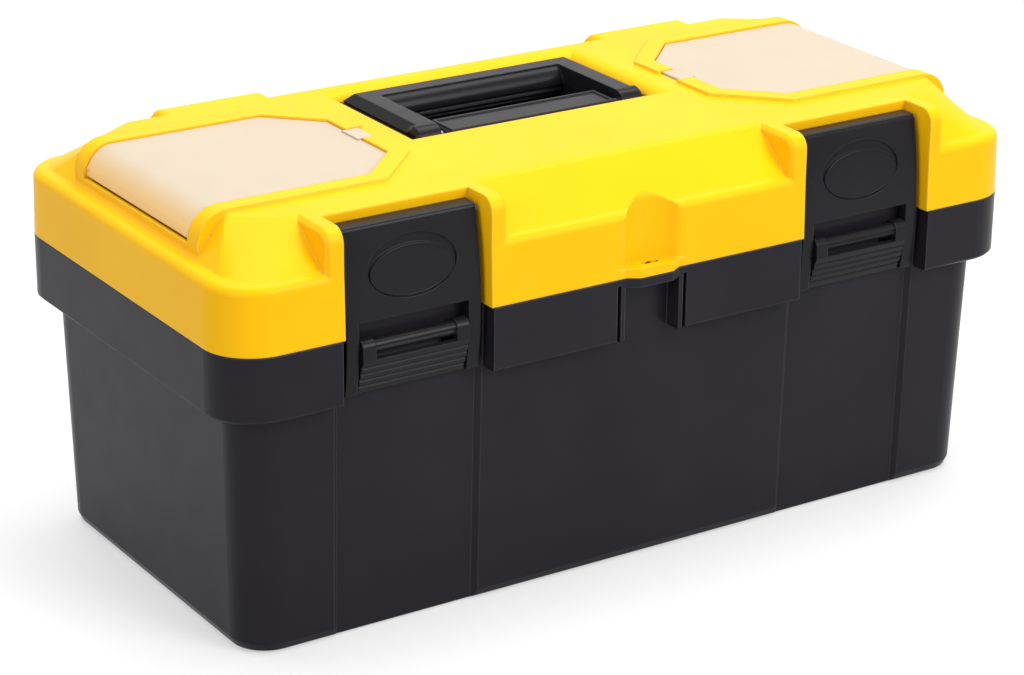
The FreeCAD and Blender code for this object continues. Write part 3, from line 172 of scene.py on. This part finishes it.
def sharpen_and_shade_padlock_slot():
    """The padlock eye's slot keeps sharp edges, and its walls are painted dark inside an upright
    oval round the slot: painted shade."""
    tree = yellow_polypropylene.node_tree
    shader = tree.nodes["Principled BSDF"]
    place = object_place(tree)
    away = add(tree, "ShaderNodeVectorMath", {
        "operation": "DISTANCE", "Vector": place, "Vector_001": slot_middle})
    radius = add(tree, "ShaderNodeMapRange", {
        "Value": away.outputs["Value"], "From Min": sharp_within, "From Max": round_beyond,
        "To Min": slot_edge_round, "To Max": lid_edge_round})
    rounding = next(node for node in tree.nodes if node.bl_idname == "ShaderNodeBevel")
    tree.links.new(radius.outputs["Result"], rounding.inputs["Radius"])

    # Painted shade: inside an upright oval round the slot the colour is mixed towards dark brown.
    oval = add(tree, "ShaderNodeMapping", {
        "Vector": place, "Scale": [1 / reach for reach in slot_reach],
        "Location": [-middle / reach for middle, reach in zip(slot_middle, slot_reach)]})
    inside = add(tree, "ShaderNodeVectorMath", {
        "operation": "LENGTH", "Vector": oval.outputs["Vector"]})
    painted_shade = add(tree, "ShaderNodeMapRange", {
        "Value": inside.outputs["Value"], "From Min": 1.0, "From Max": 0.92})
    painted_shade_colour = add(tree, "ShaderNodeMix", {
        "data_type": "RGBA", "Factor": painted_shade.outputs["Result"],
        "A_Color": shader.inputs["Base Color"].links[0].from_socket, "B_Color": srgb("#2c1c06")})
    tree.links.new(painted_shade_colour.outputs[2], shader.inputs["Base Color"])


sharpen_and_shade_padlock_slot()


# Handle and its insert: a folding bail with bevelled arms, lying in a black moulded seat that is
# screwed to the lid from below. Both are polypropylene with a slightly glossier face than the tub.

glossy_black = moulded_polypropylene(
    "black_polypropylene_polished", body="#18171a", pale="#1c1b1e", rubbed_and_highlight="#37363b",
    gloss=0.12, roughness=0.24, grain=0.6 * millimetre, grain_height=0.015 * millimetre,
    edge_round=0.8 * millimetre)
dress(glossy_black, "handle", "handle_well")


# Latches: crowned plates hinged on the lid, each with a grooved lever in its window.
# They share the handle's finish and turn on steel pins. The oval pad of each plate has a thin
# raised bead along its edge, which catches the light.

latch_centre = 122.5 * millimetre
pad_height = 169.75 * millimetre
pad_front = -90 * millimetre
pad_half_width = 20.95 * millimetre
pad_half_height = 10.8 * millimetre
bead_radius = 0.32 * millimetre
bead_sides = 10
bead_steps = 96
probe_start = 50 * millimetre

dress(glossy_black, "latch_plate_left", "latch_plate_right",
      "latch_lever_left", "latch_lever_right")


def pad_bead(side, across):
    """Bead round the oval pad of one latch: a thin ring, drawn oval and laid on the crowned plate,
    half sunk in it."""
    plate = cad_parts["latch_plate_" + side]
    middle = Vector((across, pad_front, pad_height))
    form = bmesh.new()
    bmesh.ops.create_circle(
        form, segments=bead_sides, radius=bead_radius,
        matrix=Matrix.Translation(middle + Vector((pad_half_width, 0, 0))))
    bmesh.ops.spin(form, geom=form.verts[:] + form.edges[:], cent=middle, axis=(0, 1, 0),
                   angle=math.tau, steps=bead_steps, use_merge=True)
    for corner in form.verts:
        out = corner.co - middle
        turn = math.atan2(out.z, out.x)
        centre = middle + Vector((pad_half_width * math.cos(turn), 0,
                                  pad_half_height * math.sin(turn)))
        _, spot, _, _ = plate.ray_cast(centre - Vector((0, probe_start, 0)), Vector((0, 1, 0)))
        corner.co.z += (pad_half_height - pad_half_width) * math.sin(turn)
        corner.co.y += spot.y - middle.y
    bmesh.ops.recalc_face_normals(form, faces=form.faces)
    mesh = bpy.data.meshes.new("pad_bead_" + side)
    form.to_mesh(mesh)
    form.free()
    mesh.shade_smooth()
    mesh.materials.append(glossy_black)
    bead = bpy.data.objects.new("pad_bead_" + side, mesh)
    bpy.context.scene.collection.objects.link(bead)
    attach(bead, "latch_" + side)


pad_bead("left", -latch_centre)
pad_bead("right", latch_centre)


# Pins and screws: drawn steel wire, zinc plated.
# The draw marks are fine and run along the pins, so their noise is stretched that way.

draw_marks_per_metre = (60, 2500, 2500)


def drawn_steel():
    """Zinc-plated steel whose tone, polish and relief all follow the draw marks."""
    material, tree, shader = start_material("steel_drawn_zinc_plated")
    shader.inputs["Metallic"].default_value = 1.0
    along = add(tree, "ShaderNodeMapping", {
        "Vector": object_place(tree), "Scale": draw_marks_per_metre})
    marks = noise(tree, along.outputs["Vector"], 1.0, 4.0)
    tone = add(tree, "ShaderNodeMix", {
        "data_type": "RGBA", "Factor": marks.outputs["Fac"],
        "A_Color": srgb("#8e9094"), "B_Color": srgb("#c9cbcf")})
    tree.links.new(tone.outputs[2], shader.inputs["Base Color"])
    polish = add(tree, "ShaderNodeMapRange", {
        "Value": marks.outputs["Fac"], "To Min": 0.22, "To Max": 0.42})
    tree.links.new(polish.outputs["Result"], shader.inputs["Roughness"])
    relief = add(tree, "ShaderNodeBump", {
        "Height": marks.outputs["Fac"], "Strength": 0.3, "Distance": 0.01 * millimetre})
    tree.links.new(relief.outputs["Normal"], shader.inputs["Normal"])
    return material


dress(drawn_steel(), "well_screws", "handle_pivot_pin_left", "handle_pivot_pin_right",
      "latch_hinge_pin_left", "latch_hinge_pin_right", "lid_hinge_pin_left", "lid_hinge_pin_right")


# Covers: two bent sheets over the parts wells, moulded in unpigmented, milky polypropylene.
# Where a cover bends down at its end, the yellow of the lid's wall close behind shines through;
# this light is painted on by height.

bend_top = 196.3 * millimetre
bend_foot = 188 * millimetre
bend_painted_light = 0.95


def frosted_polypropylene():
    """Milky polypropylene, cloudy in colour and gloss, with painted yellow light down the bend."""
    material, tree, shader = start_material("natural_polypropylene_frosted")
    shader.inputs["IOR"].default_value = polypropylene_index
    shader.inputs["Specular IOR Level"].default_value = 0.2
    shader.inputs["Transmission Weight"].default_value = 0.2
    place = object_place(tree)
    cloud = noise(tree, place, 25 * millimetre, 3.0)
    milk = add(tree, "ShaderNodeMix", {
        "data_type": "RGBA", "Factor": cloud.outputs["Fac"],
        "A_Color": srgb("#cbbaa2"), "B_Color": srgb("#d2c3ad")})
    # Painted light: down the bend the colour is mixed towards the lid's yellow, by height.
    height = add(tree, "ShaderNodeSeparateXYZ", {"Vector": place})
    bend = add(tree, "ShaderNodeMapRange", {
        "Value": height.outputs["Z"], "From Min": bend_top, "From Max": bend_foot,
        "To Max": bend_painted_light})
    painted_yellow_light = add(tree, "ShaderNodeMix", {
        "data_type": "RGBA", "Factor": bend.outputs["Result"],
        "A_Color": milk.outputs[2], "B_Color": srgb("#ffd488")})
    tree.links.new(painted_yellow_light.outputs[2], shader.inputs["Base Color"])
    frost = add(tree, "ShaderNodeMapRange", {
        "Value": cloud.outputs["Fac"], "To Min": 0.3, "To Max": 0.45})
    tree.links.new(frost.outputs["Result"], shader.inputs["Roughness"])
    etched = noise(tree, place, 0.9 * millimetre, 2.0)
    rounded = add(tree, "ShaderNodeBevel", {
        "samples": bevel_samples, "Radius": 0.5 * millimetre})
    skin = add(tree, "ShaderNodeBump", {
        "Height": etched.outputs["Fac"], "Normal": rounded.outputs["Normal"],
        "Strength": 0.5, "Distance": 0.03 * millimetre})
    tree.links.new(skin.outputs["Normal"], shader.inputs["Normal"])
    return material


dress(frosted_polypropylene(), "organizer_cover_left", "organizer_cover_right")


# Tray: the lift-out tray and its two slide-in dividers, black polypropylene as the tub.

dress(black_polypropylene, "tool_tray", "tray_divider_left", "tray_divider_right")


# Studio: a pale floor, a soft light overhead and two panels, seen from the photograph's place.
# The floor shows white to the camera and in reflections, and throws back less light than white
# paper, so that the black sides stay black.

floor_size = 30.0
floor_glow = 0.47
air_light = 0.55
air_seen = 1.0
camera_place = (-0.77371, -1.17472, 0.63563)
camera_turn = math.radians(33.129)
camera_tilt = math.radians(21.579)
camera_roll = math.radians(-0.570)
focal_length = 110.04
film_width = 36.0


def seen_directly(tree):
    """Whether a ray comes from the camera, or from it by way of a shiny or a clear surface."""
    ray = add(tree, "ShaderNodeLightPath", {})
    shiny = add(tree, "ShaderNodeMath", {
        "operation": "MAXIMUM", "Value": ray.outputs["Is Camera Ray"],
        "Value_001": ray.outputs["Is Glossy Ray"]})
    clear = add(tree, "ShaderNodeMath", {
        "operation": "MAXIMUM", "Value": shiny.outputs["Value"],
        "Value_001": ray.outputs["Is Transmission Ray"]})
    return clear.outputs["Value"]


def floor():
    """Matt paper that glows only where it is seen directly."""
    bpy.ops.mesh.primitive_plane_add(size=floor_size)
    ground = bpy.context.object
    ground.name = "studio_floor"
    material, tree, shader = start_material("paper_matt_white")
    shader.inputs["Base Color"].default_value = srgb("#b4b4b4")
    shader.inputs["Roughness"].default_value = 0.9
    shader.inputs["Specular IOR Level"].default_value = 0.1
    glow = add(tree, "ShaderNodeEmission", {"Color": srgb("#ffffff"), "Strength": floor_glow})
    lit = add(tree, "ShaderNodeAddShader", {
        "Shader": shader.outputs["BSDF"], "Shader_001": glow.outputs["Emission"]})
    shown = add(tree, "ShaderNodeMixShader", {
        "Fac": seen_directly(tree), "Shader": shader.outputs["BSDF"],
        "Shader_001": lit.outputs["Shader"]})
    tree.links.new(shown.outputs["Shader"], tree.nodes["Material Output"].inputs["Surface"])
    ground.data.materials.append(material)


def softbox(name, place, aim, size, power):
    """A rectangular lamp that faces a point."""
    data = bpy.data.lights.new(name, "AREA")
    data.shape = "RECTANGLE"
    data.size, data.size_y = size
    data.energy = power
    lamp = bpy.data.objects.new(name, data)
    bpy.context.scene.collection.objects.link(lamp)
    lamp.location = place
    lamp.rotation_euler = (Vector(aim) - Vector(place)).to_track_quat("-Z", "Y").to_euler()


def surroundings():
    """White air, which lights the box less than it shows."""
    world = bpy.data.worlds.new("studio_air")
    bpy.context.scene.world = world
    world.use_nodes = True
    tree = world.node_tree
    out = tree.nodes["World Output"]
    light = tree.nodes["Background"]
    light.inputs["Color"].default_value = srgb("#ffffff")
    light.inputs["Strength"].default_value = air_light
    seen = add(tree, "ShaderNodeBackground", {"Color": srgb("#ffffff"), "Strength": air_seen})
    pick = add(tree, "ShaderNodeMixShader", {
        "Fac": seen_directly(tree), "Shader": light.outputs["Background"],
        "Shader_001": seen.outputs["Background"]})
    tree.links.new(pick.outputs["Shader"], out.inputs["Surface"])


def photographer():
    """Camera where the photograph's perspective puts it: long lens, above and left of the front."""
    ahead = Vector((math.sin(camera_turn) * math.cos(camera_tilt),
                    math.cos(camera_turn) * math.cos(camera_tilt), -math.sin(camera_tilt)))
    level = Vector((math.cos(camera_turn), -math.sin(camera_turn), 0.0))
    down = ahead.cross(level)
    right = level * math.cos(camera_roll) + down * math.sin(camera_roll)
    up = level * math.sin(camera_roll) - down * math.cos(camera_roll)
    data = bpy.data.cameras.new("photographer")
    data.sensor_width = film_width
    data.lens = focal_length
    data.clip_start = 0.05
    camera = bpy.data.objects.new("photographer", data)
    bpy.context.scene.collection.objects.link(camera)
    turned = Matrix((right, up, -ahead)).transposed()
    camera.matrix_world = Matrix.Translation(camera_place) @ turned.to_4x4()
    bpy.context.scene.camera = camera


floor()
softbox("overhead", place=(0.2, 0.3, 1.7), aim=(0, 0, 0.1), size=(1.8, 1.4), power=31.5)
softbox("left_panel", place=(-1.6, -0.8, 0.8), aim=(0, 0, 0.12), size=(0.7, 1.0), power=8.5)
softbox("front_panel", place=(0.6, -1.6, 1.1), aim=(0, 0, 0.12), size=(1.0, 1.0), power=23.0)
surroundings()
photographer()
bpy.context.scene.view_settings.view_transform = "Standard"
